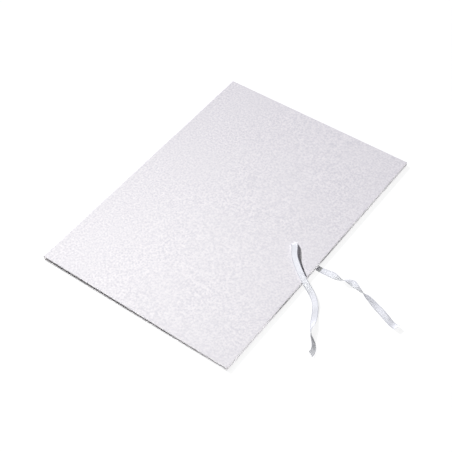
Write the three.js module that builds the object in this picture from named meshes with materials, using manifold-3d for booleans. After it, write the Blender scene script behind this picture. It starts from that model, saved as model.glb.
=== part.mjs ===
// A tie file folder: two stiff covers and a narrow spine strip in one grained covering sheet,
// closed by two flat tapes at the middle of the fore edge.
// Millimetres, +Z up. The closed folder lies on its back cover, the spine at -X, the fore edge at +X
// and the head at +Y. The origin is the middle of the underside.
import * as THREE from "three";
import { mergeVertices } from "three/addons/utils/BufferGeometryUtils.js";
import Module from "manifold-3d";

// The closed folder
const folderLength = 310;
const folderWidth = 228;
const spineHeight = 6.6;
const foreEdgeClearance = 0.15;

// Board, sheets and the paste between them
const boardThickness = 1.2;
const coveringThickness = 0.2;
const liningThickness = 0.15;
const pasteFilm = 0.05;

// Covering and linings
const turnInWidth = 15;
const mitreGap = 0.4;
const mitreStart = 2.5;
const liningInset = 3.5;
const creaseRadius = 1.7;
const creaseGap = 0.3;

// Ties
const tapeWidth = 6;
const tapeThickness = 0.2;
const tapeClearance = 0.3;
const slitInset = 33.7;
const slitOffset = -3;
const slitWidth = 0.8;
const tailLength = 24;
const roomUnderTape = 0.1;
const flatBaseWidth = 147;

// Depths into a cover, measured from its outer face
const boardOuter = coveringThickness + pasteFilm;
const boardInner = boardOuter + boardThickness;
const turnInOuter = boardInner + pasteFilm;
const turnInInner = turnInOuter + coveringThickness;
const liningOuter = turnInInner + pasteFilm;
const coverThickness = liningOuter + liningThickness;

// Plan of a cover
const spineX = -folderWidth / 2;
const foreX = folderWidth / 2;
const headY = folderLength / 2;
const hingeX = spineX + creaseRadius + creaseGap;
const slitX = foreX - slitInset;
const edgeWrap = coveringThickness + pasteFilm;

// The back cover is bent up half a degree towards the fore edge, where it rides on its tie
const bendX = hingeX + flatBaseWidth;
const riseAtSlit = roomUnderTape * 2 + tapeThickness;
const riseSlope = riseAtSlit / (slitX - bendX);

// The height that the bend gives the back cover.
function rise(x) {
  return Math.max(0, x - bendX) * riseSlope;
}

// The front cover slopes down from the front crease and meets the back cover at the fore edge
const hingeArc = ((creaseRadius - coveringThickness / 2) * Math.PI) / 2;
const pivotInset = (2 * creaseRadius - hingeArc) / 2;
const slopeDrop = spineHeight - 2 * coverThickness - rise(foreX) - foreEdgeClearance;
const slopeAngle = Math.atan2(slopeDrop, folderWidth - pivotInset);

const materials = {
  board: new THREE.MeshStandardMaterial({ color: 0xa9a49a, roughness: 0.9, metalness: 0 }),
  covering: new THREE.MeshStandardMaterial({ color: 0xe9e8ec, roughness: 0.7, metalness: 0 }),
  lining: new THREE.MeshStandardMaterial({ color: 0xf2f1ee, roughness: 0.85, metalness: 0 }),
  tape: new THREE.MeshStandardMaterial({ color: 0xf7f8fa, roughness: 0.55, metalness: 0 }),
};

const wasm = await Module();
wasm.setup();

// A closed three.js geometry as a solid that can be joined and cut.
function solidOf(geometry) {
  const bare = geometry.clone();
  bare.deleteAttribute("normal");
  bare.deleteAttribute("uv");
  const merged = mergeVertices(bare, 1e-4);
  return new wasm.Manifold(
    new wasm.Mesh({
      numProp: 3,
      vertProperties: merged.attributes.position.array,
      triVerts: new Uint32Array(merged.index.array),
    }),
  );
}

// A solid as a three.js geometry.
function geometryOf(solid) {
  const mesh = solid.getMesh();
  const geometry = new THREE.BufferGeometry();
  geometry.setAttribute("position", new THREE.BufferAttribute(mesh.vertProperties, 3));
  geometry.setIndex(new THREE.BufferAttribute(mesh.triVerts, 1));
  geometry.computeVertexNormals();
  return geometry;
}

// A section drawn in X and Z, extruded from y0 to y1.
function prism(section, y0, y1) {
  const shape = new THREE.Shape(section.map(([x, z]) => new THREE.Vector2(x, z)));
  const body = new THREE.ExtrudeGeometry(shape, { depth: y1 - y0, bevelEnabled: false });
  return body.rotateX(Math.PI / 2).translate(0, y1, 0);
}

// The covers share one plan and differ in how a depth below the outer face becomes a height.
const backCover = { heightAt: (x, depth) => depth + rise(x) };
const frontCover = { heightAt: (x, depth) => spineHeight - depth };

// The points of a cover's curve from x0 to x1 at one depth.
function curve(cover, x0, x1, depth) {
  const bent = cover === backCover && x0 < bendX && x1 > bendX;
  const xs = bent ? [x0, bendX, x1] : [x0, x1];
  return xs.map((x) => [x, cover.heightAt(x, depth)]);
}

// A layer of a cover between two depths.
function layer(cover, [x0, x1], [depth0, depth1], [y0, y1]) {
  const outer = curve(cover, x0, x1, depth0);
  const inner = curve(cover, x0, x1, depth1).reverse();
  return solidOf(prism([...outer, ...inner], y0, y1));
}

const fullLength = [-headY, headY];
const wrappedLength = [-headY + edgeWrap, headY - edgeWrap];
const linedLength = [-headY + liningInset, headY - liningInset];

// The slit through a cover, cut a little longer than the tape is wide.
function slit(cover) {
  const span = [slitX - slitWidth / 2, slitX + slitWidth / 2];
  const half = (tapeWidth + tapeClearance) / 2;
  return layer(cover, span, [-1, turnInInner], [slitOffset - half, slitOffset + half]);
}

// The shallow bed in the board's inner face that holds the tape's pasted end.
function tailBed(cover) {
  const span = [slitX - tailLength - tapeClearance, slitX + slitWidth / 2];
  const half = (tapeWidth + tapeClearance) / 2;
  const depths = [boardInner - tapeThickness - pasteFilm, turnInInner];
  return layer(cover, span, depths, [slitOffset - half, slitOffset + half]);
}

function board(cover) {
  const span = [hingeX, foreX - edgeWrap];
  const blank = layer(cover, span, [boardOuter, boardInner], wrappedLength);
  return blank.subtract(slit(cover)).subtract(tailBed(cover));
}

// A narrow cut at 45 degrees through the turn-ins at one corner of the fore edge.
function mitreCut(cover, end) {
  const reach = turnInWidth + 1;
  const half = mitreGap / 2;
  const outline = new THREE.Shape();
  outline.moveTo(foreX - mitreStart - half, end * (headY - mitreStart + half));
  outline.lineTo(foreX - mitreStart + half, end * (headY - mitreStart - half));
  outline.lineTo(foreX - reach + half, end * (headY - reach - half));
  outline.lineTo(foreX - reach - half, end * (headY - reach + half));
  const blade = new THREE.ExtrudeGeometry(outline, { depth: coverThickness, bevelEnabled: false });
  const start = boardInner + pasteFilm / 2;
  const flip = cover === frontCover;
  return solidOf(blade.translate(0, 0, flip ? spineHeight - start - coverThickness : start));
}

// The covering on one cover: the outer sheet, the wraps over three edges and the mitred turn-ins.
function coverSheet(cover) {
  const wrapped = layer(cover, [hingeX, foreX], [0, turnInInner], fullLength);
  const inHead = headY - coveringThickness;
  const inTurn = headY - turnInWidth;
  const core = layer(
    cover,
    [hingeX - 1, foreX - coveringThickness],
    [coveringThickness, turnInOuter],
    [-inHead, inHead],
  );
  const window = layer(
    cover,
    [hingeX - 1, foreX - turnInWidth],
    [boardInner, turnInInner + 1],
    [-inTurn, inTurn],
  );
  let sheet = wrapped.subtract(core).subtract(window).subtract(slit(cover));
  for (const end of [-1, 1]) {
    sheet = sheet.subtract(mitreCut(cover, end));
  }
  return sheet;
}

// The lining lies over the turn-ins and is filled out to the board between them.
function lining(cover) {
  const inner = headY - turnInWidth - pasteFilm;
  const sheet = layer(
    cover,
    [hingeX, foreX - liningInset],
    [liningOuter, coverThickness],
    linedLength,
  );
  const filler = layer(
    cover,
    [hingeX, foreX - turnInWidth - pasteFilm],
    [boardInner + pasteFilm, liningOuter + liningThickness / 2],
    [-inner, inner],
  );
  return sheet.add(filler);
}

// The tape's held end: in through the slit, round its inner edge and along the bed.
function tieTail(cover) {
  const mouth = 0.1;
  const end = slitX - tailLength;
  const side = slitX + tapeThickness / 2;
  const half = tapeWidth / 2;
  const section = [
    ...curve(cover, end, side - tapeThickness, boardInner - tapeThickness),
    [side - tapeThickness, cover.heightAt(side - tapeThickness, mouth)],
    [side, cover.heightAt(side, mouth)],
    ...curve(cover, end, side, boardInner).reverse(),
  ];
  return solidOf(prism(section, slitOffset - half, slitOffset + half));
}

const spineInner = spineX + edgeWrap + boardThickness;

function spineBoard() {
  const low = creaseRadius + creaseGap;
  const high = spineHeight - low;
  const section = [
    [spineX + edgeWrap, low],
    [spineInner, low],
    [spineInner, high],
    [spineX + edgeWrap, high],
  ];
  return solidOf(prism(section, ...wrappedLength));
}

// The covering over the spine: the flat face and the rounded crease at each cover.
function spineSheet() {
  const section = new THREE.Path();
  const outer = creaseRadius;
  const inner = creaseRadius - coveringThickness;
  const centreX = spineX + creaseRadius;
  section.absarc(centreX, spineHeight - outer, outer, Math.PI / 2, Math.PI, false);
  section.absarc(centreX, outer, outer, Math.PI, Math.PI * 1.5, false);
  section.absarc(centreX, outer, inner, Math.PI * 1.5, Math.PI, true);
  section.absarc(centreX, spineHeight - outer, inner, Math.PI, Math.PI / 2, true);
  const points = section.getPoints(6).map((p) => [p.x, p.y]);
  let sheet = solidOf(prism(points, ...fullLength));
  const low = creaseRadius + creaseGap;
  const high = spineHeight - low;
  const back = spineInner + pasteFilm + coveringThickness;
  for (const end of [-1, 1]) {
    const edge = [end * headY, end * (headY - coveringThickness)].sort((a, b) => a - b);
    const turned = [end * headY, end * (headY - turnInWidth)].sort((a, b) => a - b);
    const wrap = [
      [spineX, low],
      [back, low],
      [back, high],
      [spineX, high],
    ];
    const strip = [
      [spineInner + pasteFilm, low],
      [back, low],
      [back, high],
      [spineInner + pasteFilm, high],
    ];
    sheet = sheet.add(solidOf(prism(wrap, ...edge)));
    sheet = sheet.add(solidOf(prism(strip, ...turned)));
  }
  return sheet;
}

// The inner hinge strip: the part of it that lines the spine, over its turn-ins.
function spineLining() {
  const low = coverThickness + creaseGap;
  const high = spineHeight - low;
  const outer = spineInner + pasteFilm * 2 + coveringThickness;
  const section = [
    [outer, low],
    [outer + liningThickness, low],
    [outer + liningThickness, high],
    [outer, high],
  ];
  return solidOf(prism(section, ...linedLength));
}

// Each tie's free run as points of its middle line, chosen by hand: x, y, height, and how far
// the tape is turned about its own line, in degrees. The front tie arches out of its slit and
// over the fore edge, one edge raised, and lies on the table, where its end stands on edge.
const frontTieRun = [
  [80.3, -3, 5.3, 0],
  [80.9, -3.2, 7, 0],
  [82.9, -4.7, 8.3, 2],
  [85.6, -8.4, 8.8, 6],
  [88.6, -13.0, 8.7, 12],
  [92.1, -17.5, 8.3, 17],
  [96.9, -21.8, 8, 20],
  [101.9, -25.9, 7.8, 21],
  [107.1, -29.8, 7.5, 20],
  [112.2, -33.1, 7, 17],
  [116.9, -35.7, 5.7, 14],
  [121.5, -37.8, 3.7, 16],
  [126.3, -40.0, 2.1, 24],
  [131.8, -43.8, 1.7, 30],
  [137.4, -49.3, 1.5, 24],
  [141.8, -55.8, 0.9, 10],
  [145.6, -63.2, 1.2, 14],
  [148.9, -70.5, 2.1, 38],
  [152.3, -77.7, 3.3, 84],
  [156.6, -82.9, 3.3, 116],
  [161.1, -87.0, 3, 128],
  [164.4, -91.4, 2.8, 130],
  [165.9, -95.8, 2.9, 132],
  [166.0, -98.8, 3.4, 134],
];

// The back tie runs out flat under the back cover and then twists over itself along the table.
const backTieRun = [
  [80.3, -3, 0.15, 0],
  [88.0, -5.2, 0.15, 0],
  [96.0, -7.5, 0.15, 0],
  [104.0, -9.4, 0.15, 0],
  [111.5, -10.8, 0.15, 0],
  [118.5, -11.3, 0.3, 2],
  [125.0, -11.2, 0.95, 12],
  [131.5, -11.2, 2, 34],
  [137.5, -11.9, 3.15, 74],
  [142.5, -12.0, 3.6, 112],
  [147.5, -10.4, 3.6, 154],
  [153.0, -9.4, 2.9, 200],
  [159.0, -10.8, 3.1, 248],
  [164.5, -12.7, 3.3, 276],
  [168.0, -13.7, 3.2, 298],
  [171.5, -14.6, 2.8, 330],
  [177.5, -16.3, 2, 350],
  [184.5, -18.8, 1.3, 364],
  [191.5, -21.4, 1.6, 382],
  [198.0, -24.0, 1.4, 378],
  [204.5, -26.4, 0.6, 364],
  [209.2, -28.0, 0.8, 360],
  [212.0, -28.7, 1.7, 360],
  [213.8, -29.1, 3.1, 360],
  [214.6, -29.3, 4.6, 360],
];
const stepsPerPoint = 3;

// A flat tape swept along a run: a rectangle across the tape at each step, joined into one body.
// Both broad faces are split along the same diagonal, so that a twisted tape keeps its thickness.
function tape(run) {
  const line = new THREE.CatmullRomCurve3(
    run.map(([x, y, z]) => new THREE.Vector3(x, y, z)),
    false,
    "centripetal",
  );
  const turns = new THREE.SplineCurve(run.map((point, i) => new THREE.Vector2(i, point[3])));
  const steps = (run.length - 1) * stepsPerPoint;
  const up = new THREE.Vector3(0, 0, 1);
  const corners = [];
  for (let i = 0; i <= steps; i++) {
    const centre = line.getPoint(i / steps);
    const along = line.getTangent(i / steps);
    const across = new THREE.Vector3().crossVectors(up, along).normalize();
    across.applyAxisAngle(along, THREE.MathUtils.degToRad(turns.getPoint(i / steps).y));
    const through = new THREE.Vector3().crossVectors(along, across);
    across.multiplyScalar(tapeWidth / 2);
    through.multiplyScalar(tapeThickness / 2);
    for (const [side, face] of [[-1, -1], [1, -1], [1, 1], [-1, 1]]) {
      const corner = centre.clone().addScaledVector(across, side).addScaledVector(through, face);
      corners.push(corner.x, corner.y, corner.z);
    }
  }
  const faces = [0, 2, 1, 0, 3, 2];
  for (let i = 0; i < steps; i++) {
    for (let k = 0; k < 4; k++) {
      const a = i * 4 + k;
      const b = i * 4 + ((k + 1) % 4);
      if (k < 2) faces.push(a, b, b + 4, a, b + 4, a + 4);
      else faces.push(a, b, a + 4, b, b + 4, a + 4);
    }
  }
  const last = steps * 4;
  faces.push(last, last + 1, last + 2, last, last + 2, last + 3);
  const geometry = new THREE.BufferGeometry();
  geometry.setAttribute("position", new THREE.BufferAttribute(new Float32Array(corners), 3));
  geometry.setIndex(faces);
  geometry.computeVertexNormals();
  return geometry;
}

function named(name, geometry, material) {
  const mesh = new THREE.Mesh(geometry, material.clone());
  mesh.name = name;
  return mesh;
}

function coverParts(name, cover) {
  return [
    named(name + "_board", geometryOf(board(cover)), materials.board),
    named(name + "_cover_sheet", geometryOf(coverSheet(cover)), materials.covering),
    named(name + "_lining", geometryOf(lining(cover)), materials.lining),
    named(name + "_tie_tail", geometryOf(tieTail(cover)), materials.tape),
  ];
}

const folder = new THREE.Group();
folder.add(...coverParts("back", backCover));
folder.add(
  named("spine_board", geometryOf(spineBoard()), materials.board),
  named("spine_cover_sheet", geometryOf(spineSheet()), materials.covering),
  named("spine_lining", geometryOf(spineLining()), materials.lining),
);

// The front cover turns about the front crease until it lies on the back cover's fore edge.
const frontCrease = new THREE.Group();
frontCrease.position.set(spineX + pivotInset, 0, spineHeight - pivotInset);
frontCrease.rotation.y = slopeAngle;
const frontFlat = new THREE.Group();
frontFlat.position.copy(frontCrease.position).negate();
frontFlat.add(...coverParts("front", frontCover));
frontCrease.add(frontFlat);
folder.add(frontCrease);

folder.add(
  named("front_tie", tape(frontTieRun), materials.tape),
  named("back_tie", tape(backTieRun), materials.tape),
);

export default folder;
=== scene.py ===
# A tie file folder, dressed for its picture: the grained covering over two covers and a spine strip,
# the linings and the inner hinge strip, and two woven tape ties, on a pale floor in soft light.
import math

import bpy
from mathutils import Matrix, Vector, noise


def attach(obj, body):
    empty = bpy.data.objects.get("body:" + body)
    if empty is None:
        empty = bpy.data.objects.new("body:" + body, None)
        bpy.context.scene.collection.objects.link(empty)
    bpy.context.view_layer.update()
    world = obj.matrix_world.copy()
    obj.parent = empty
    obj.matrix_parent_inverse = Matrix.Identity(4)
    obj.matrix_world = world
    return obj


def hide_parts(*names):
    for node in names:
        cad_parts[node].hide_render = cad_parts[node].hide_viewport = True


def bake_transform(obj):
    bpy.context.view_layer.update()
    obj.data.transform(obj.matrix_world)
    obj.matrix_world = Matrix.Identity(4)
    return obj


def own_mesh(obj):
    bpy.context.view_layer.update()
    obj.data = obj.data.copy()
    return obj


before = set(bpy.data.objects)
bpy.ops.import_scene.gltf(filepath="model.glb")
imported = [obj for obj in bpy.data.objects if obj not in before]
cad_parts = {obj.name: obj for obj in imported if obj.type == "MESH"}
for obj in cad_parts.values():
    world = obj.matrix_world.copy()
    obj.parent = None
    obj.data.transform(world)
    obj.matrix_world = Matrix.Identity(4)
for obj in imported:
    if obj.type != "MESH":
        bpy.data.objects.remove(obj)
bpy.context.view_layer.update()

MM = 0.001


# The camera, where the photograph was taken from
def set_camera():
    """Stands the camera by its turn round the folder, its height and its roll, all in degrees."""
    heading, height, roll = (math.radians(a) for a in (41.27328504, 48.81556098, -5.26572318))
    aim = Vector((0.0083257, -0.0180516, 0.0))
    distance = 1.067677
    level = Vector((math.sin(heading), -math.cos(heading), 0.0)) * math.cos(height)
    back = level + Vector((0.0, 0.0, math.sin(height)))
    right = Vector((math.cos(heading), math.sin(heading), 0.0))
    up = back.cross(right)
    across = right * math.cos(roll) + up * math.sin(roll)
    upright = up * math.cos(roll) - right * math.sin(roll)
    camera = bpy.data.objects.new("camera", bpy.data.cameras.new("camera"))
    bpy.context.scene.collection.objects.link(camera)
    camera.data.sensor_width = 36.0
    camera.data.lens = 84.6748
    turn = Matrix((across, upright, back)).transposed().to_4x4()
    camera.matrix_world = Matrix.Translation(aim + back * distance) @ turn
    bpy.context.scene.camera = camera


set_camera()


# Node trees
def add(tree, kind, inputs=None, **settings):
    """Adds a node, sets its options, and fills or links its inputs."""
    made = tree.nodes.new(kind)
    for option, value in settings.items():
        setattr(made, option, value)
    for key, value in (inputs or {}).items():
        if isinstance(value, bpy.types.Node):
            value = value.outputs[0]
        if isinstance(value, bpy.types.NodeSocket):
            tree.links.new(value, made.inputs[key])
        else:
            made.inputs[key].default_value = value
    return made


def maths(tree, operation, *values):
    return add(tree, "ShaderNodeMath", dict(enumerate(values)), operation=operation)


def vectors(tree, operation, *values):
    return add(tree, "ShaderNodeVectorMath", dict(enumerate(values)), operation=operation)


def remap(tree, value, low, high, to_low, to_high, kind="LINEAR"):
    inputs = {0: value, 1: low, 2: high, 3: to_low, 4: to_high}
    return add(tree, "ShaderNodeMapRange", inputs, interpolation_type=kind)


def mix(tree, share, first, second):
    inputs = {0: share, 6: first, 7: second}
    return add(tree, "ShaderNodeMix", inputs, data_type="RGBA").outputs[2]


def linear(hex_colour):
    """An sRGB colour such as e9e8ec as the linear values that a shader takes."""
    parts = [int(hex_colour[i : i + 2], 16) / 255 for i in (0, 2, 4)]
    return [c / 12.92 if c <= 0.04045 else ((c + 0.055) / 1.055) ** 2.4 for c in parts] + [1.0]


# Materials
def new_material(name):
    made = bpy.data.materials.new(name)
    made.use_nodes = True
    made.node_tree.nodes.clear()
    return made, made.node_tree


def cloud(tree, where, size_mm, detail=2.0, roughness=0.5):
    """Soft noise whose patches are about so many millimetres across."""
    inputs = {"Vector": where, "Scale": 1000.0 / size_mm, "Detail": detail, "Roughness": roughness}
    return add(tree, "ShaderNodeTexNoise", inputs)


def relieve(tree, strength, depth_mm, height):
    """Turns a pattern into relief that is so many millimetres deep."""
    inputs = {"Strength": strength, "Distance": depth_mm * MM, "Height": height}
    return add(tree, "ShaderNodeBump", inputs)


def surface(tree, colour, roughness, normal, gloss, **constants):
    inputs = {"Base Color": colour, "Roughness": roughness, "Normal": normal}
    inputs["Specular IOR Level"] = gloss
    inputs.update({name.replace("_", " "): value for name, value in constants.items()})
    shader = add(tree, "ShaderNodeBsdfPrincipled", inputs)
    add(tree, "ShaderNodeOutputMaterial", {"Surface": shader})


def grained_covering():
    # Covering paper: white with a breath of violet, embossed with a fine pebble grain of about 1 mm.
    # Its tone mottles over 2 mm, coarser than the grain, so that it shows at the photograph's size.
    made, tree = new_material("grained_covering")
    spot = add(tree, "ShaderNodeTexCoord").outputs["Object"]
    mottle = cloud(tree, spot, 2.1, 2.5, 0.55)
    drift = cloud(tree, spot, 60.0, 1.0)
    pebble_mm = 0.95
    pebble_inputs = {"Vector": spot, "Scale": 1000.0 / pebble_mm, "Smoothness": 0.6}
    pebble = add(tree, "ShaderNodeTexVoronoi", pebble_inputs, feature="SMOOTH_F1")
    fibre = cloud(tree, spot, 0.35, 2.0)
    tone = mix(tree, remap(tree, mottle, 0.33, 0.67, 0.0, 1.0), linear("dcdade"), linear("f8f5f5"))
    tone = mix(tree, remap(tree, drift, 0.35, 0.65, 0.0, 0.35), tone, linear("ebe9ea"))
    wear = add(tree, "ShaderNodeAttribute", attribute_name="edge").outputs["Fac"]
    rubbed = maths(tree, "MULTIPLY", wear, remap(tree, mottle, 0.4, 0.65, 0.1, 0.75))
    tone = mix(tree, rubbed, tone, linear("e2e0e2"))
    relief = maths(tree, "MULTIPLY_ADD", fibre, 0.35, maths(tree, "MULTIPLY", pebble, 0.9))
    relief = maths(tree, "MULTIPLY_ADD", mottle, 1.3, relief)
    rough = remap(tree, fibre, 0.3, 0.7, 0.56, 0.7)
    surface(tree, tone, rough, relieve(tree, 0.7, 0.1, relief), gloss=0.15)
    return made


def lining_paper():
    # Lining: smooth white uncoated paper with faint fibres and a little show-through
    made, tree = new_material("lining_paper")
    spot = add(tree, "ShaderNodeTexCoord").outputs["Object"]
    drawn = add(tree, "ShaderNodeMapping", {"Vector": spot, "Scale": (1.0, 0.3, 1.0)})
    fibre = cloud(tree, drawn, 0.5, 3.0, 0.6)
    flock = cloud(tree, spot, 6.0, 2.0)
    tone = mix(tree, remap(tree, flock, 0.35, 0.65, 0.0, 1.0), linear("e9e7e2"), linear("f1f0ec"))
    tone = mix(tree, remap(tree, fibre, 0.52, 0.75, 0.0, 0.35), tone, linear("dedbd4"))
    rough = remap(tree, fibre, 0.3, 0.7, 0.72, 0.86)
    surface(tree, tone, rough, relieve(tree, 0.4, 0.03, fibre), gloss=0.25)
    return made


def hinge_paper():
    # Inner hinge strip: strong white paper with fine laid lines along the spine
    made, tree = new_material("hinge_paper")
    spot = add(tree, "ShaderNodeTexCoord").outputs["Object"]
    crossed = add(tree, "ShaderNodeMapping", {"Vector": spot, "Scale": (1.0, 0.08, 1.0)})
    laid = cloud(tree, crossed, 0.45, 2.0)
    flock = cloud(tree, spot, 4.0, 2.0)
    tone = mix(tree, remap(tree, flock, 0.35, 0.65, 0.0, 1.0), linear("e4e2df"), linear("edebe8"))
    rough = remap(tree, laid, 0.3, 0.7, 0.66, 0.8)
    surface(tree, tone, rough, relieve(tree, 0.6, 0.04, laid), gloss=0.25)
    return made


def grey_board():
    # Board: pressed waste-paper board, grey with dark flecks, in layers along its faces
    made, tree = new_material("grey_board")
    spot = add(tree, "ShaderNodeTexCoord").outputs["Object"]
    layers = add(tree, "ShaderNodeMapping", {"Vector": spot, "Scale": (1.0, 1.0, 4.0)})
    felt = cloud(tree, layers, 1.4, 4.0, 0.65)
    flecks = cloud(tree, layers, 0.5, 1.0)
    tone = mix(tree, remap(tree, felt, 0.35, 0.65, 0.0, 1.0), linear("948f85"), linear("b3aea3"))
    tone = mix(tree, remap(tree, flecks, 0.66, 0.74, 0.0, 0.8), tone, linear("5f5b55"))
    rough = remap(tree, felt, 0.3, 0.7, 0.82, 0.95)
    surface(tree, tone, rough, relieve(tree, 0.8, 0.08, felt), gloss=0.2)
    return made


def woven_tape():
    # Tie tape: white plain-woven tape, two or three threads to the millimetre each way. Its tone is
    # painted darker towards both edges, a painted shade line along the selvedges.
    made, tree = new_material("woven_tape")
    weft_pitch = 0.42 * MM
    warp_pitch = 0.36 * MM
    painted_shade_start, painted_shade_full = 2.35 * MM, 2.7 * MM
    weave = add(tree, "ShaderNodeUVMap", uv_map="UVMap")
    wander = cloud(tree, add(tree, "ShaderNodeTexCoord").outputs["Object"], 3.0, 1.0)
    split = add(tree, "ShaderNodeSeparateXYZ", {0: weave})
    drift = maths(tree, "MULTIPLY", wander, 0.9)
    along = maths(tree, "MULTIPLY_ADD", split.outputs["X"], math.pi / weft_pitch, drift)
    across = maths(tree, "MULTIPLY_ADD", split.outputs["Y"], math.pi / warp_pitch, drift)
    crossing = maths(tree, "MULTIPLY", maths(tree, "SINE", along), maths(tree, "SINE", across))
    hills = maths(tree, "POWER", maths(tree, "ABSOLUTE", crossing), 0.6)
    tone = mix(tree, hills, linear("d4d6da"), linear("f2f3f6"))
    tone = mix(tree, remap(tree, wander, 0.35, 0.65, 0.0, 0.3), tone, linear("e6e8ec"))
    aside = maths(tree, "ABSOLUTE", split.outputs["Y"])
    # Painted shade: the tape is drawn darker towards both edges, as a thin shade line.
    tone = mix(tree, remap(tree, aside, painted_shade_start, painted_shade_full, 0.0, 0.8), tone, linear("a4a6ae"))
    rough = remap(tree, hills, 0.0, 1.0, 0.75, 0.5)
    bump = relieve(tree, 0.8, 0.06, hills)
    surface(tree, tone, rough, bump, gloss=0.25, Sheen_Weight=0.15, Sheen_Roughness=0.4)
    return made


COVERING = grained_covering()
LINING = lining_paper()
HINGE = hinge_paper()
BOARD = grey_board()
TAPE = woven_tape()


# Making pieces
def new_piece(name, points, faces, materials, edges=()):
    mesh = bpy.data.meshes.new(name)
    mesh.from_pydata(points, edges, faces)
    for material in materials:
        mesh.materials.append(material)
    piece = bpy.data.objects.new(name, mesh)
    bpy.context.scene.collection.objects.link(piece)
    return piece


def settle(piece):
    """Turns what a piece's modifiers make of it into its plain mesh."""
    bpy.context.view_layer.update()
    evaluated = piece.evaluated_get(bpy.context.evaluated_depsgraph_get())
    mesh = bpy.data.meshes.new_from_object(evaluated)
    piece.modifiers.clear()
    piece.data = mesh
    return piece


def shade(piece, crisp_degrees):
    """Smooth faces, crisp where two of them meet at more than so many degrees."""
    piece.data.shade_smooth()
    piece.data.set_sharp_from_angle(angle=math.radians(crisp_degrees))


def thicken(piece, thickness):
    """Gives a sheet its thickness, inwards from its face, with smooth faces and crisp rims."""
    wall = piece.modifiers.new("thickness", "SOLIDIFY")
    wall.thickness = thickness * MM
    wall.offset = -1.0
    settle(piece)
    shade(piece, 40)
    return piece


# Sizes of the folder in millimetres, as in the part's source
HEAD_Y = 155.0
SPINE_X = -114.0
FORE_X = 114.0
SPINE_HEIGHT = 6.6
HINGE_X = -112.0
SLIT_X = 80.3
SLIT_Y = -3.0
TURN_IN = 15.0
LINING_INSET = 3.5
SHEET = 0.2
TURN_IN_INNER = 1.7
COVER_THICKNESS = 1.9
SPINE_BOARD_LOW = 2.0
SPINE_BOARD_HEIGHT = 2.6
BEND_X = 35.0
BEND_EASE = 15.0
RISE_AT_SLIT = 0.4
RISE_SLOPE = RISE_AT_SLIT / (SLIT_X - BEND_X)
CREASE_RADIUS = 1.7
CREASE_THICKNESS = 0.35
TAIL_LENGTH = 24.0
PIVOT = (-113.556637, 6.156637)
SLOPE = math.radians(0.49158379)
ROUNDING = 0.4
CORNER = 0.7


def rise(x):
    """How far the bend lifts the back cover, eased over 30 mm."""
    past = x - BEND_X
    if past <= -BEND_EASE:
        return 0.0
    if past >= BEND_EASE:
        return RISE_SLOPE * past
    return RISE_SLOPE * (past + BEND_EASE) ** 2 / (4 * BEND_EASE)


def turned(x, y, z, share=1.0):
    """A point of the level front cover, turned down about the front crease."""
    angle = SLOPE * share
    dx, dz = x - PIVOT[0], z - PIVOT[1]
    down_x = dx * math.cos(angle) + dz * math.sin(angle)
    down_z = dz * math.cos(angle) - dx * math.sin(angle)
    return Vector((PIVOT[0] + down_x, y, PIVOT[1] + down_z)) * MM


def on_back(x, y, depth):
    """A place in the back cover, so many millimetres in from its outer face."""
    return Vector((x, y, depth + rise(x))) * MM


def on_front(x, y, depth):
    """A place in the front cover, so many millimetres in from its outer face."""
    return turned(x, y, SPINE_HEIGHT - depth)


def on_spine(x, y, z):
    return Vector((x, y, z)) * MM


def smooth_step(share):
    """Holds a share between 0 and 1, and eases it at both ends."""
    share = min(1.0, max(0.0, share))
    return share * share * (3 - 2 * share)


# The ties
TAPE_WIDTH = 6.0
TAPE_THICKNESS = 0.2
SELVEDGE_BEAD = 0.02
TIE_FRAY = 0.8
TAIL_FRAY = 0.05
FRAY_THREADS = 15

# Points of each tie's middle line in metres, and how far the tape is turned about it in degrees.
FRONT_TIE_RUN = [
    (0.0803, -0.0030, 0.00530, 0), (0.0809, -0.0032, 0.00700, 0), (0.0829, -0.0047, 0.00830, 2),
    (0.0856, -0.0084, 0.00880, 6), (0.0886, -0.0130, 0.00870, 12), (0.0921, -0.0175, 0.00830, 17),
    (0.0969, -0.0218, 0.00800, 20), (0.1019, -0.0259, 0.00780, 21), (0.1071, -0.0298, 0.00750, 20),
    (0.1122, -0.0331, 0.00700, 17), (0.1169, -0.0357, 0.00570, 14), (0.1215, -0.0378, 0.00370, 16),
    (0.1263, -0.0400, 0.00210, 24), (0.1318, -0.0438, 0.00170, 30), (0.1374, -0.0493, 0.00150, 24),
    (0.1418, -0.0558, 0.00090, 10), (0.1456, -0.0632, 0.00120, 14), (0.1489, -0.0705, 0.00210, 38),
    (0.1523, -0.0777, 0.00330, 84), (0.1566, -0.0829, 0.00330, 116), (0.1611, -0.0870, 0.00300, 128),
    (0.1644, -0.0914, 0.00280, 130), (0.1659, -0.0958, 0.00290, 132), (0.1660, -0.0988, 0.00340, 134),
]
BACK_TIE_RUN = [
    (0.0803, -0.0030, 0.00015, 0), (0.0880, -0.0052, 0.00015, 0), (0.0960, -0.0075, 0.00015, 0),
    (0.1040, -0.0094, 0.00015, 0), (0.1115, -0.0108, 0.00015, 0), (0.1185, -0.0113, 0.00030, 2),
    (0.1250, -0.0112, 0.00095, 12), (0.1315, -0.0112, 0.00200, 34), (0.1375, -0.0119, 0.00315, 74),
    (0.1425, -0.0120, 0.00360, 112), (0.1475, -0.0104, 0.00360, 154), (0.1530, -0.0094, 0.00290, 200),
    (0.1590, -0.0108, 0.00310, 248), (0.1645, -0.0127, 0.00330, 276), (0.1680, -0.0137, 0.00320, 298),
    (0.1715, -0.0146, 0.00280, 330), (0.1775, -0.0163, 0.00200, 350), (0.1845, -0.0188, 0.00130, 364),
    (0.1915, -0.0214, 0.00160, 382), (0.1980, -0.0240, 0.00140, 378), (0.2045, -0.0264, 0.00060, 364),
    (0.2092, -0.0280, 0.00080, 360), (0.2120, -0.0287, 0.00170, 360), (0.2138, -0.0291, 0.00310, 360),
    (0.2146, -0.0293, 0.00460, 360),
]


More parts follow.
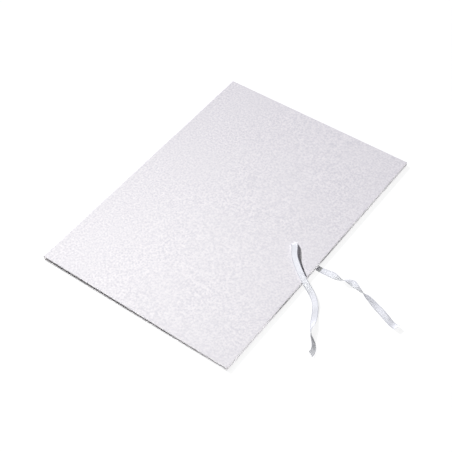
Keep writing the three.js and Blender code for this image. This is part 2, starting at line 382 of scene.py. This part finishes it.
def curve_point(four, share):
    """A point between the middle two of four, on a centripetal spline."""
    knots = [0.0]
    for before, after in zip(four, four[1:]):
        knots.append(knots[-1] + (after - before).length ** 0.5)
    at = knots[1] + (knots[2] - knots[1]) * share
    first = [four[n].lerp(four[n + 1], (at - knots[n]) / (knots[n + 1] - knots[n])) for n in range(3)]
    second = [first[n].lerp(first[n + 1], (at - knots[n]) / (knots[n + 2] - knots[n])) for n in range(2)]
    return second[0].lerp(second[1], (at - knots[1]) / (knots[2] - knots[1]))


def eased_turn(four, share):
    """A turn between the middle two of four, on a smooth curve."""
    start, end = (four[2] - four[0]) / 2, (four[3] - four[1]) / 2
    step = four[1] - four[2]
    cubic, square = 2 * step + start + end, -3 * step - 2 * start - end
    return ((cubic * share + square) * share + start) * share + four[1]


def smooth_run(run, steps=12):
    """Points along a tie's run and the direction across the tape at each."""
    places = [Vector(p[:3]) for p in run]
    turns = [p[3] for p in run]
    places = [places[0] * 2 - places[1]] + places + [places[-1] * 2 - places[-2]]
    turns = [turns[0]] + turns + [turns[-1]]
    points, rolls = [], []
    for i in range(len(run) - 1):
        for k in range(steps):
            points.append(curve_point(places[i : i + 4], k / steps))
            rolls.append(eased_turn(turns[i : i + 4], k / steps))
    points.append(places[-2])
    rolls.append(turns[-1])
    sides = []
    for i, roll in enumerate(rolls):
        along = (points[min(i + 1, len(points) - 1)] - points[max(i - 1, 0)]).normalized()
        side = Vector((0, 0, 1)).cross(along).normalized()
        sides.append(Matrix.Rotation(math.radians(roll), 3, along) @ side)
    return points, sides


def tape_tree():
    """Sweeps a flat woven tape along a run of points and frays its far end."""
    tree = bpy.data.node_groups.new("tie_tape", "GeometryNodeTree")
    face = tree.interface
    face.new_socket("Run", in_out="INPUT", socket_type="NodeSocketGeometry")
    for name in ("Width", "Thickness", "Selvedge", "Fray"):
        face.new_socket(name, in_out="INPUT", socket_type="NodeSocketFloat")
    for name in ("Threads", "Seed"):
        face.new_socket(name, in_out="INPUT", socket_type="NodeSocketInt")
    face.new_socket("Tape", in_out="INPUT", socket_type="NodeSocketMaterial")
    face.new_socket("Tie", in_out="OUTPUT", socket_type="NodeSocketGeometry")
    given = tree.nodes.new("NodeGroupInput").outputs

    # The section: a circle pressed flat, full to its edges, a little thicker at the selvedges
    squareness = 4.5
    bead_start, bead_full = 0.72, 0.9
    ring = add(tree, "GeometryNodeCurvePrimitiveCircle", {"Resolution": 28, "Radius": 1.0})
    split = add(tree, "ShaderNodeSeparateXYZ", {0: add(tree, "GeometryNodeInputPosition")})
    reach = maths(tree, "ABSOLUTE", split.outputs["X"])
    lift = maths(tree, "ABSOLUTE", split.outputs["Y"])
    full = maths(tree, "MINIMUM", 1.0, maths(tree, "MULTIPLY", lift, squareness))
    bead = remap(tree, reach, bead_start, bead_full, 0.0, given["Selvedge"], "SMOOTHSTEP")
    half = maths(tree, "MULTIPLY_ADD", given["Thickness"], 0.5, bead)
    above = maths(tree, "SIGN", split.outputs["Y"])
    height = maths(tree, "MULTIPLY", maths(tree, "MULTIPLY", half, full), above)
    half_width = maths(tree, "MULTIPLY", given["Width"], 0.5)
    breadth = maths(tree, "MULTIPLY", split.outputs["X"], half_width)
    flat = add(tree, "ShaderNodeCombineXYZ", {"X": breadth, "Y": height})
    section = add(tree, "GeometryNodeSetPosition", {"Geometry": ring, "Position": flat})
    section = add(tree, "GeometryNodeCaptureAttribute", {"Geometry": section})
    section.capture_items.new("FLOAT", "Breadth")
    spread = add(tree, "ShaderNodeSeparateXYZ", {0: add(tree, "GeometryNodeInputPosition")})
    tree.links.new(spread.outputs["X"], section.inputs["Breadth"])

    # The run: the tape stands across it as told
    line = add(tree, "GeometryNodeMeshToCurve", {"Mesh": given["Run"]})
    side = add(tree, "GeometryNodeInputNamedAttribute", {"Name": "across"}, data_type="FLOAT_VECTOR")
    line = add(tree, "GeometryNodeSetCurveNormal", {"Curve": line, "Normal": side}, mode="FREE")
    line = add(tree, "GeometryNodeCaptureAttribute", {"Geometry": line})
    line.capture_items.new("FLOAT", "Station")
    station = add(tree, "GeometryNodeSplineParameter").outputs["Length"]
    tree.links.new(station, line.inputs["Station"])
    sweep = {"Curve": line, "Profile Curve": section, "Fill Caps": True}
    swept = add(tree, "GeometryNodeCurveToMesh", sweep)
    place = {"X": line.outputs["Station"], "Y": section.outputs["Breadth"]}
    place = add(tree, "ShaderNodeCombineXYZ", place)
    swept = add(
        tree,
        "GeometryNodeStoreNamedAttribute",
        {"Geometry": swept, "Name": "UVMap", "Value": place},
        data_type="FLOAT2",
        domain="CORNER",
    )

    # The fray: short warp threads that stand out of the cut end
    fray_spread = 0.93
    fray_sink = -0.15 * MM
    thread_radius = 0.08 * MM
    stray_lean = 0.35
    shortest = 0.35
    end = add(tree, "GeometryNodeSampleCurve", {"Curves": line, "Factor": 1.0}, mode="FACTOR")
    row = add(tree, "GeometryNodeMeshLine", {"Count": given["Threads"], "Offset": (0.0, 0.0, 0.0)})
    last = maths(tree, "SUBTRACT", given["Threads"], 1.0)
    share = maths(tree, "DIVIDE", add(tree, "GeometryNodeInputIndex"), last)
    offset = maths(tree, "MULTIPLY", maths(tree, "SUBTRACT", share, 0.5), given["Width"])
    offset = maths(tree, "MULTIPLY", offset, fray_spread)
    root = {0: end.outputs["Normal"], 3: offset}
    root = add(tree, "ShaderNodeVectorMath", root, operation="SCALE")
    root = vectors(tree, "ADD", root, end.outputs["Position"])
    sunk = {0: end.outputs["Tangent"], 3: fray_sink}
    sunk = add(tree, "ShaderNodeVectorMath", sunk, operation="SCALE")
    root = vectors(tree, "ADD", root, sunk)
    row = add(tree, "GeometryNodeSetPosition", {"Geometry": row, "Position": root})
    stem = add(tree, "GeometryNodeCurvePrimitiveLine", {"End": (0.0, 0.0, 1.0)})
    gauge = {"Resolution": 6, "Radius": thread_radius}
    gauge = add(tree, "GeometryNodeCurvePrimitiveCircle", gauge)
    thread = {"Curve": stem, "Profile Curve": gauge, "Fill Caps": True}
    thread = add(tree, "GeometryNodeCurveToMesh", thread)
    stray = {"Min": (-stray_lean,) * 3, "Max": (stray_lean,) * 3, "Seed": given["Seed"]}
    stray = add(tree, "FunctionNodeRandomValue", stray, data_type="FLOAT_VECTOR")
    heading = vectors(tree, "ADD", stray.outputs[0], end.outputs["Tangent"])
    lean = add(tree, "FunctionNodeAlignRotationToVector", {"Vector": heading}, axis="Z")
    extent = {2: shortest, 3: 1.0, "Seed": given["Seed"]}
    extent = add(tree, "FunctionNodeRandomValue", extent, data_type="FLOAT")
    extent = maths(tree, "MULTIPLY", extent.outputs[1], given["Fray"])
    stretch = add(tree, "ShaderNodeCombineXYZ", {"X": 1.0, "Y": 1.0, "Z": extent})
    fray = {"Points": row, "Instance": thread, "Rotation": lean, "Scale": stretch}
    fray = add(tree, "GeometryNodeInstanceOnPoints", fray)

    whole = add(tree, "GeometryNodeJoinGeometry", {"Geometry": swept})
    tree.links.new(fray.outputs[0], whole.inputs["Geometry"])
    whole = add(tree, "GeometryNodeRealizeInstances", {"Geometry": whole})
    whole = add(tree, "GeometryNodeSetShadeSmooth", {"Geometry": whole})
    whole = add(tree, "GeometryNodeSetMaterial", {"Geometry": whole, "Material": given["Tape"]})
    add(tree, "NodeGroupOutput", {"Tie": whole})
    return tree


TAPE_TREE = tape_tree()


def weave_tape(name, points, sides, fray_mm, seed):
    """A tape along the points, lying across the given sides."""
    links = [(i, i + 1) for i in range(len(points) - 1)]
    piece = new_piece(name, points, [], [TAPE], links)
    across = piece.data.attributes.new("across", "FLOAT_VECTOR", "POINT")
    for i, side in enumerate(sides):
        across.data[i].vector = side
    maker = piece.modifiers.new("weave", "NODES")
    maker.node_group = TAPE_TREE
    values = {
        "Width": TAPE_WIDTH * MM,
        "Thickness": (TAPE_THICKNESS - 2 * SELVEDGE_BEAD) * MM,
        "Selvedge": SELVEDGE_BEAD * MM,
        "Fray": fray_mm * MM,
        "Threads": FRAY_THREADS,
        "Seed": seed,
        "Tape": TAPE,
    }
    for item in TAPE_TREE.interface.items_tree:
        if item.name in values:
            maker[item.identifier] = values[item.name]
    return settle(piece)


def lay_tie(name, run, body, node, seed):
    """A free tie from its slit to its frayed end."""
    points, sides = smooth_run(run)
    tie = weave_tape(name, points, sides, TIE_FRAY, seed)
    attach(tie, body)
    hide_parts(node)
    return tie


front_tie = lay_tie("front_tape", FRONT_TIE_RUN, "front_cover", "front_tie", 3)
lay_tie("back_tape", BACK_TIE_RUN, "back_cover", "back_tie", 8)

# The tapes' ends inside the covers: depths from the cover's outer face in millimetres
BED_DEPTH = 1.35
BED_STEP = 2.0
TAIL_BEND = 0.4
THROUGH_SLIT = [(SLIT_X, 0.6), (SLIT_X, 0.2)]
FRONT_MOUTH = [(SLIT_X, -0.1), (SLIT_X, -0.35)]
BACK_MOUTH = [(SLIT_X, -0.1), (SLIT_X + 0.05, -0.2)]


def hold_tail(name, place, body, node, mouth):
    """The tape's end inside a cover: along the bed in the board, then out through the slit."""
    section = [(SLIT_X - TAIL_LENGTH + step * BED_STEP, BED_DEPTH) for step in range(12)]
    for angle in (0.0, 0.4, 0.8, 1.2, 1.57):
        x = SLIT_X - TAIL_BEND + TAIL_BEND * math.sin(angle)
        section.append((x, BED_DEPTH - TAIL_BEND + TAIL_BEND * math.cos(angle)))
    section += THROUGH_SLIT + mouth
    points = [place(x, SLIT_Y, depth) for x, depth in section]
    sides = [Vector((0, 1, 0))] * len(points)
    tail = weave_tape(name, points, sides, TAIL_FRAY, 5)
    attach(tail, body)
    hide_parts(node)


hold_tail("front_tape_held", on_front, "front_cover", "front_tie_tail", FRONT_MOUTH)
hold_tail("back_tape_held", on_back, "back_cover", "back_tie_tail", BACK_MOUTH)


# The covers' skins
def grid_lines(marks, pitch):
    """Sorted lines through all marks, with more between them where they are far apart."""
    closest = 0.015
    marks = sorted(marks)
    lines = [marks[0]]
    for mark in marks[1:]:
        gap = mark - lines[-1]
        if gap < closest:
            continue
        parts = max(1, math.ceil(gap / pitch))
        lines += [lines[-1] + gap * (k + 1) / parts for k in range(parts)]
    return lines


SKIN_PITCH = 3.2
EDGE_STEPS = [0.0, 0.03, 0.09, 0.18, 0.28, 0.4, 0.55, 0.7, 1.1, 1.6, 2.2, 2.5, 2.8, 3.1, 3.5, 4.2, 5.4]
EDGE_STEPS += [7.0, 9.0, 11.0, 13.0, 14.6, 15.0, 15.6, 17.0]
SLIT_HALF = (0.4, 3.15)
CALM_MARGIN = 6.0
MITRE_START = 2.3
MITRE_GROOVE = 0.14
WEAR_REACH = 1.1


def skin_lines():
    """The lines of a cover's skin, close together at its edges and round the slit."""
    around = (-1.6, -0.8, -0.35, -0.12, 0.0)
    slit_x = [SLIT_X - SLIT_HALF[0] + s for s in around] + [SLIT_X + SLIT_HALF[0] - s for s in around]
    slit_y = [SLIT_Y - SLIT_HALF[1] + s for s in around] + [SLIT_Y + SLIT_HALF[1] - s for s in around]
    xs = [HINGE_X] + slit_x + [FORE_X - s for s in EDGE_STEPS]
    ys = slit_y + [HEAD_Y - s for s in EDGE_STEPS] + [s - HEAD_Y for s in EDGE_STEPS]
    return grid_lines(xs, SKIN_PITCH), grid_lines(ys, SKIN_PITCH)


def rounded_plan(x, y):
    """A plan point moved in at the round corners, and how far it lies from the cover's edge."""
    a, b = FORE_X - x, HEAD_Y - abs(y)
    if a >= CORNER or b >= CORNER:
        return x, y, min(a, b)
    s, t = 1 - a / CORNER, 1 - b / CORNER
    u, v = s * math.sqrt(1 - t * t / 2), t * math.sqrt(1 - s * s / 2)
    y = math.copysign(HEAD_Y - CORNER + CORNER * v, y)
    return FORE_X - CORNER + CORNER * u, y, CORNER - CORNER * math.hypot(u, v)


def edge_fall(distance):
    """How far the surface drops where it rounds over an edge."""
    short = max(0.0, ROUNDING - distance)
    return ROUNDING - math.sqrt(max(0.0, ROUNDING**2 - short**2))


def swell(x, y, seed):
    """The slight unevenness of paper pasted on board, all of it below the level face."""
    slow_height, quick_height = 0.075, 0.018
    slow = noise.noise(Vector((x / 46.0, y / 58.0, seed)))
    quick = noise.noise(Vector((x / 13.0, y / 17.0, seed + 7.3)))
    return slow_height * slow + quick_height * quick - (slow_height + quick_height)


def slit_lip(x, y):
    """The lips of the slit, pushed up by the blade and the tape."""
    height, reach = 0.09, 0.6
    dx = max(0.0, abs(x - SLIT_X) - SLIT_HALF[0])
    dy = max(0.0, abs(y - SLIT_Y) - SLIT_HALF[1])
    return height * math.exp(-(math.hypot(dx, dy) / reach) ** 2)


def wear_at(distance):
    """How rubbed the covering is, from 1 at an edge to next to nothing a few millimetres in."""
    return math.exp(-max(0.0, distance) / WEAR_REACH)


def mark_wear(piece, values):
    """Stores the wear of each point, which the covering's material reads."""
    wear = piece.data.attributes.new("edge", "FLOAT", "POINT")
    wear.data.foreach_set("value", values)


def cover_skin(name, place, body, node, flip, seed):
    """The covering on one cover: its face, the wrapped edges and the mitred turn-ins."""
    xs, ys = skin_lines()
    points, wear, faces = [], [], []

    def put(x, y, depth, distance):
        points.append(place(x, y, depth))
        wear.append(wear_at(distance))
        return len(points) - 1

    def face(*corners):
        faces.append(corners[::-1] if flip else corners)

    outer, inner = {}, {}
    for i, x in enumerate(xs):
        for j, y in enumerate(ys):
            px, py, distance = rounded_plan(x, y)
            calm = min(1.0, distance / CALM_MARGIN) * min(1.0, (x - HINGE_X) / CALM_MARGIN)
            lift = swell(px, py, seed) * calm + slit_lip(px, py)
            outer[i, j] = put(px, py, edge_fall(distance) - lift, distance)
            if min(FORE_X - x, HEAD_Y - abs(y)) <= TURN_IN + 0.01:
                mitred = abs((FORE_X - x) - (HEAD_Y - abs(y))) < 0.05 and FORE_X - x > MITRE_START
                depth = TURN_IN_INNER - edge_fall(distance) - (MITRE_GROOVE if mitred else 0.0)
                inner[i, j] = put(px, py, depth, distance)

    def is_slit(x, y):
        return abs(x - SLIT_X) < SLIT_HALF[0] and abs(y - SLIT_Y) < SLIT_HALF[1]

    for i in range(len(xs) - 1):
        for j in range(len(ys) - 1):
            if not is_slit((xs[i] + xs[i + 1]) / 2, (ys[j] + ys[j + 1]) / 2):
                face(outer[i, j], outer[i + 1, j], outer[i + 1, j + 1], outer[i, j + 1])
            cell = [(i, j), (i, j + 1), (i + 1, j + 1), (i + 1, j)]
            middle = min(FORE_X - (xs[i] + xs[i + 1]) / 2, HEAD_Y - abs(ys[j] + ys[j + 1]) / 2)
            if middle < TURN_IN and all(c in inner for c in cell):
                face(*(inner[c] for c in cell))

    # The wrapped edges: belts of faces down the three free sides
    last_x, last_y = len(xs) - 1, len(ys) - 1
    rim = [(i, 0) for i in range(last_x)] + [(last_x, j) for j in range(last_y)]
    rim += [(i, last_y) for i in range(last_x, -1, -1)]
    belts = [[outer[c] for c in rim]]
    for share in (0.33, 0.67):
        depth = ROUNDING + (TURN_IN_INNER - 2 * ROUNDING) * share
        belts.append([put(*rounded_plan(xs[i], ys[j])[:2], depth, 0.0) for i, j in rim])
    belts.append([inner[c] for c in rim])
    for upper, lower in zip(belts, belts[1:]):
        for k in range(len(rim) - 1):
            face(lower[k], lower[k + 1], upper[k + 1], upper[k])

    skin = new_piece(name, points, faces, [COVERING])
    mark_wear(skin, wear)
    thicken(skin, SHEET)
    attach(skin, body)
    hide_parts(node)


cover_skin("front_covering", on_front, "front_cover", "front_cover_sheet", False, 1.7)
cover_skin("back_covering", on_back, "back_cover", "back_cover_sheet", True, 5.2)

# The covering over the spine strip and round the two creases
END_MARGIN = 4.0
SPINE_STATIONS = 60


def end_profile(thickness, rounding, reach):
    """Length and depth along a sheet that is wrapped round both ends of what it covers."""
    turn_steps, reach_steps = 6, 4
    half = []
    for k in range(turn_steps + 1):
        angle = k * math.pi / (2 * turn_steps)
        y = HEAD_Y - rounding + rounding * math.sin(angle)
        half.append((y, rounding - rounding * math.cos(angle)))
    back = [(y, thickness - depth) for y, depth in reversed(half)]
    wrap = half + back
    wrap += [(HEAD_Y - reach * k / reach_steps, thickness) for k in range(1, reach_steps + 1)]
    start, length = END_MARGIN - HEAD_Y, 2 * HEAD_Y - 2 * END_MARGIN
    face = [(start + length * k / SPINE_STATIONS, 0.0) for k in range(SPINE_STATIONS + 1)]
    return [(-y, depth) for y, depth in reversed(wrap)] + face + wrap


def spine_skin():
    """The covering on the spine strip, turned in at both ends."""
    profile = end_profile(TURN_IN_INNER, ROUNDING, TURN_IN)
    rows = 6
    heights = [SPINE_BOARD_LOW + SPINE_BOARD_HEIGHT * k / rows for k in range(rows + 1)]
    points, wear, faces = [], [], []
    for z in heights:
        for y, depth in profile:
            points.append(on_spine(SPINE_X + depth, y, z))
            wear.append(wear_at(HEAD_Y - abs(y)))
    wide = len(profile)
    for k in range(len(heights) - 1):
        for n in range(wide - 1):
            low = k * wide + n
            faces.append((low, low + wide, low + wide + 1, low + 1))
    skin = new_piece("spine_covering", points, faces, [COVERING])
    mark_wear(skin, wear)
    thicken(skin, SHEET)
    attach(skin, "spine")
    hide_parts("spine_cover_sheet")


spine_skin()


def crease_stations():
    """The front crease from the spine's face to the level front cover: x, z and the way out."""
    steps = 14
    centre = (SPINE_X + CREASE_RADIUS, SPINE_HEIGHT - CREASE_RADIUS)
    board_top = SPINE_BOARD_LOW + SPINE_BOARD_HEIGHT
    stations = [(SPINE_X, board_top, -1.0, 0.0), (SPINE_X, 4.75, -1.0, 0.0)]
    for k in range(steps + 1):
        angle = math.pi - math.pi / 2 * k / steps
        out_x, out_z = math.cos(angle), math.sin(angle)
        x, z = centre[0] + CREASE_RADIUS * out_x, centre[1] + CREASE_RADIUS * out_z
        stations.append((x, z, out_x, out_z))
    return stations + [(-112.15, SPINE_HEIGHT, 0.0, 1.0), (HINGE_X, SPINE_HEIGHT, 0.0, 1.0)]


# Where the front crease starts to bend on the spine, and where it is wholly the cover's
CREASE_START = (SPINE_X, 4.9)
CREASE_END = (HINGE_X, SPINE_HEIGHT)


def crease_share(x, z):
    """How far a point of the front crease has passed from the spine to the cover, from 0 to 1."""
    run = (CREASE_END[0] - CREASE_START[0], CREASE_END[1] - CREASE_START[1])
    along = (x - CREASE_START[0]) * run[0] + (z - CREASE_START[1]) * run[1]
    return smooth_step(along / (run[0] ** 2 + run[1] ** 2))


def crease_band(name, front):
    """A crease: covering outside, hinge paper inside, its ends turned in."""
    thickness = CREASE_THICKNESS
    outer_depth, inner_wear = 0.3, 0.3
    inner_start, inner_length = HEAD_Y - END_MARGIN, 2 * HEAD_Y - 2 * END_MARGIN
    loop = end_profile(thickness, thickness / 2, END_MARGIN)
    for k in range(1, SPINE_STATIONS):
        loop.append((inner_start - inner_length * k / SPINE_STATIONS, thickness))
    points, wear, faces, inside = [], [], [], []
    stations = crease_stations()
    for x, z, out_x, out_z in stations:
        for y, depth in loop:
            px, pz = x - out_x * depth, z - out_z * depth
            if front:
                points.append(turned(px, y, pz, crease_share(x, z)))
            else:
                points.append(on_spine(px, y, SPINE_HEIGHT - pz))
            wear.append(wear_at(HEAD_Y - abs(y)) * (1.0 if depth < outer_depth else inner_wear))
    wide = len(loop)
    for k in range(len(stations) - 1):
        for n in range(wide):
            after = (n + 1) % wide
            quad = (k * wide + n, (k + 1) * wide + n, (k + 1) * wide + after, k * wide + after)
            faces.append(quad if front else quad[::-1])
            inside.append(loop[n][1] > thickness - 0.01 and abs(loop[n][0]) < HEAD_Y - LINING_INSET)
    ends = [tuple(range(wide)), tuple(len(points) - 1 - n for n in range(wide))]
    faces += ends if front else [end[::-1] for end in ends]
    inside += [False, False]
    band = new_piece(name, points, faces, [COVERING, HINGE])
    band.data.polygons.foreach_set("material_index", [int(flag) for flag in inside])
    mark_wear(band, wear)
    shade(band, 50)
    return band


front_crease_band = crease_band("front_crease_covering", True)
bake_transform(front_crease_band)
back_crease_band = crease_band("back_crease_covering", False)
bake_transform(back_crease_band)

# The linings and the inner hinge strip
LINING_THICKNESS = 0.15
HINGE_THICKNESS = 0.12
STEP_WIDTH = 1.8
STEP_HEIGHT = 0.05
STEP_LINES = (-0.9, -0.45, 0.0, 0.45, 0.9)
LINING_PITCH = 4.0
LINING_SINK = 0.02
RIPPLE_HEIGHT = 0.03


def step_up(inside):
    """Eases a lining over the edge of what lies under it, from 0 outside to 1 inside."""
    return smooth_step(inside / STEP_WIDTH + 0.5)


def cover_lining(name, place, body, node, flip, seed):
    """The lining pasted over the turn-ins and the tape's end, whose edges show through it."""
    tail = (SLIT_X - TAIL_LENGTH, SLIT_X + TAPE_THICKNESS)
    half_tape = TAPE_WIDTH / 2
    xs = [HINGE_X, FORE_X - LINING_INSET] + [FORE_X - TURN_IN + s for s in STEP_LINES]
    xs += [x + s for x in tail for s in STEP_LINES]
    ys = [end * (HEAD_Y - LINING_INSET) for end in (-1, 1)]
    ys += [end * (HEAD_Y - TURN_IN + s) for end in (-1, 1) for s in STEP_LINES]
    ys += [SLIT_Y + end * (half_tape + s) for end in (-1, 1) for s in STEP_LINES]
    xs, ys = grid_lines(xs, LINING_PITCH), grid_lines(ys, LINING_PITCH)
    points, faces = [], []
    for x in xs:
        for y in ys:
            over_turn_in = step_up(TURN_IN - min(FORE_X - x, HEAD_Y - abs(y)))
            over_tail = step_up(min(x - tail[0], tail[1] - x, half_tape - abs(y - SLIT_Y)))
            level = COVER_THICKNESS + STEP_HEIGHT * over_turn_in + STEP_HEIGHT * over_tail - LINING_SINK
            ripple = RIPPLE_HEIGHT * noise.noise(Vector((x / 30.0, y / 40.0, seed)))
            points.append(place(x, y, level + ripple))
    wide = len(ys)
    for i in range(len(xs) - 1):
        for j in range(wide - 1):
            low = i * wide + j
            quad = (low, low + 1, low + wide + 1, low + wide)
            faces.append(quad[::-1] if flip else quad)
    lining = thicken(new_piece(name, points, faces, [LINING]), LINING_THICKNESS)
    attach(lining, body)
    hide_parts(node)


cover_lining("front_lining_paper", on_front, "front_cover", "front_lining", False, 2.4)
cover_lining("back_lining_paper", on_back, "back_cover", "back_lining", True, 9.1)


def fold_strip(name, section, place, body, flip):
    """A narrow strip of hinge paper, folded along the section and as long as the linings."""
    steps = 62
    points, faces = [], []
    for x, z in section:
        for k in range(steps + 1):
            y = (HEAD_Y - LINING_INSET) * (2 * k / steps - 1)
            points.append(place(x, y, z))
    wide = steps + 1
    for n in range(len(section) - 1):
        for k in range(steps):
            low = n * wide + k
            quad = (low, low + 1, low + wide + 1, low + wide)
            faces.append(quad[::-1] if flip else quad)
    strip = thicken(new_piece(name, points, faces, [HINGE]), HINGE_THICKNESS)
    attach(strip, body)
    return strip


def corner(x, z, radius, start):
    """Five points round a quarter turn about x, z, from a heading in degrees."""
    angles = [math.radians(start + 22.5 * k) for k in range(5)]
    return [(x + radius * math.cos(a), z + radius * math.sin(a)) for a in angles]


# Sections across the spine: over a lining's edge and down the board's, and round the spine strip
FOLD_RADIUS = 0.2
cover_edge = [(-107.0, 1.74), (-109.5, 1.74)] + corner(-111.92, 1.54, FOLD_RADIUS, 90.0)
cover_edge += [(-112.12, 0.4)]
fold_strip("front_edge_strip", cover_edge, on_front, "front_cover", True)
fold_strip("back_edge_strip", cover_edge, on_back, "back_cover", False)
spine_edge = [(-113.7, 1.87)] + corner(-112.3, 2.07, FOLD_RADIUS, -90.0)
spine_edge += corner(-112.3, 4.53, FOLD_RADIUS, 0.0) + [(-113.7, 4.73)]
spine_strip = fold_strip("spine_hinge_strip", spine_edge, on_spine, "spine", False)
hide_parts("spine_lining")

# The boards keep their solids and get the board's material
for node_name in ("front_board", "back_board", "spine_board"):
    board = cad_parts[node_name]
    for slot in board.material_slots:
        slot.material = BOARD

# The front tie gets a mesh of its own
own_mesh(front_tie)


# The floor, the lamps and the air
def seen_directly(tree):
    """One for rays from the camera, and for those it sees by gloss or through glass."""
    path = add(tree, "ShaderNodeLightPath")
    seen = maths(tree, "MAXIMUM", path.outputs["Is Camera Ray"], path.outputs["Is Glossy Ray"])
    return maths(tree, "MAXIMUM", seen, path.outputs["Is Transmission Ray"])


def lay_floor():
    # Floor: matt grey card that throws little light back up. It is lifted to white for the camera alone,
    # with the folder's shadow left on it, and a little more far out, where it meets the white air.
    made, tree = new_material("studio_card")
    plain = add(tree, "ShaderNodeBsdfDiffuse", {"Color": linear("78787a")})
    spot = add(tree, "ShaderNodeTexCoord").outputs["Object"]
    far = vectors(tree, "LENGTH", spot).outputs["Value"]
    glow = remap(tree, far, 0.5, 1.5, 0.88, 1.0, "SMOOTHSTEP")
    glow = maths(tree, "MULTIPLY", seen_directly(tree), glow)
    glow = add(tree, "ShaderNodeEmission", {"Color": linear("ffffff"), "Strength": glow})
    both = add(tree, "ShaderNodeAddShader", {0: plain, 1: glow})
    add(tree, "ShaderNodeOutputMaterial", {"Surface": both})
    half = 4.0
    corners = [(-half, -half, 0.0), (half, -half, 0.0), (half, half, 0.0), (-half, half, 0.0)]
    new_piece("floor", corners, [(0, 1, 2, 3)], [made])


def hang_lamp(name, place, size, power, colour, height=None):
    """A lamp that looks at the origin: a disk, or a strip where it is given a height."""
    lamp = bpy.data.lights.new(name, "AREA")
    lamp.shape = "RECTANGLE" if height else "DISK"
    lamp.size = size
    if height:
        lamp.size_y = height
    lamp.energy = power
    lamp.color = colour
    hung = bpy.data.objects.new(name, lamp)
    bpy.context.scene.collection.objects.link(hung)
    hung.location = place
    hung.rotation_euler = (-Vector(place)).to_track_quat("-Z", "Y").to_euler()


def fill_air():
    """Air that is white to the camera and gives the folder only a faint cool light."""
    world = bpy.data.worlds.new("studio_air")
    world.use_nodes = True
    tree = world.node_tree
    tree.nodes.clear()
    seen = seen_directly(tree)
    tint = mix(tree, seen, linear("d9d4f2"), linear("ffffff"))
    faint = 0.035
    strength = remap(tree, seen, 0.0, 1.0, faint, 1.0)
    air = add(tree, "ShaderNodeBackground", {"Color": tint, "Strength": strength})
    add(tree, "ShaderNodeOutputWorld", {"Surface": air})
    bpy.context.scene.world = world


lay_floor()

# Each lamp's place and size in metres, its power in watts and its colour. The window gives the main
# light, the one overhead its fall across the cover, and the low strips reach the thin edges.
hang_lamp("window", (-10.47, 1.48, 9.18), 1.25, 2070.0, (0.94, 0.93, 1.0))
hang_lamp("overhead", (-0.08, -0.2, 0.4), 0.12, 0.66, (0.98, 1.0, 0.92))
hang_lamp("front", (1.6, -1.0, 0.035), 1.8, 38.4, (1.0, 1.0, 1.0), height=0.06)
hang_lamp("rear", (-0.95, 1.5, 0.05), 1.0, 13.0, (1.0, 1.0, 1.0), height=0.05)
fill_air()

bpy.context.scene.view_settings.view_transform = "Standard"
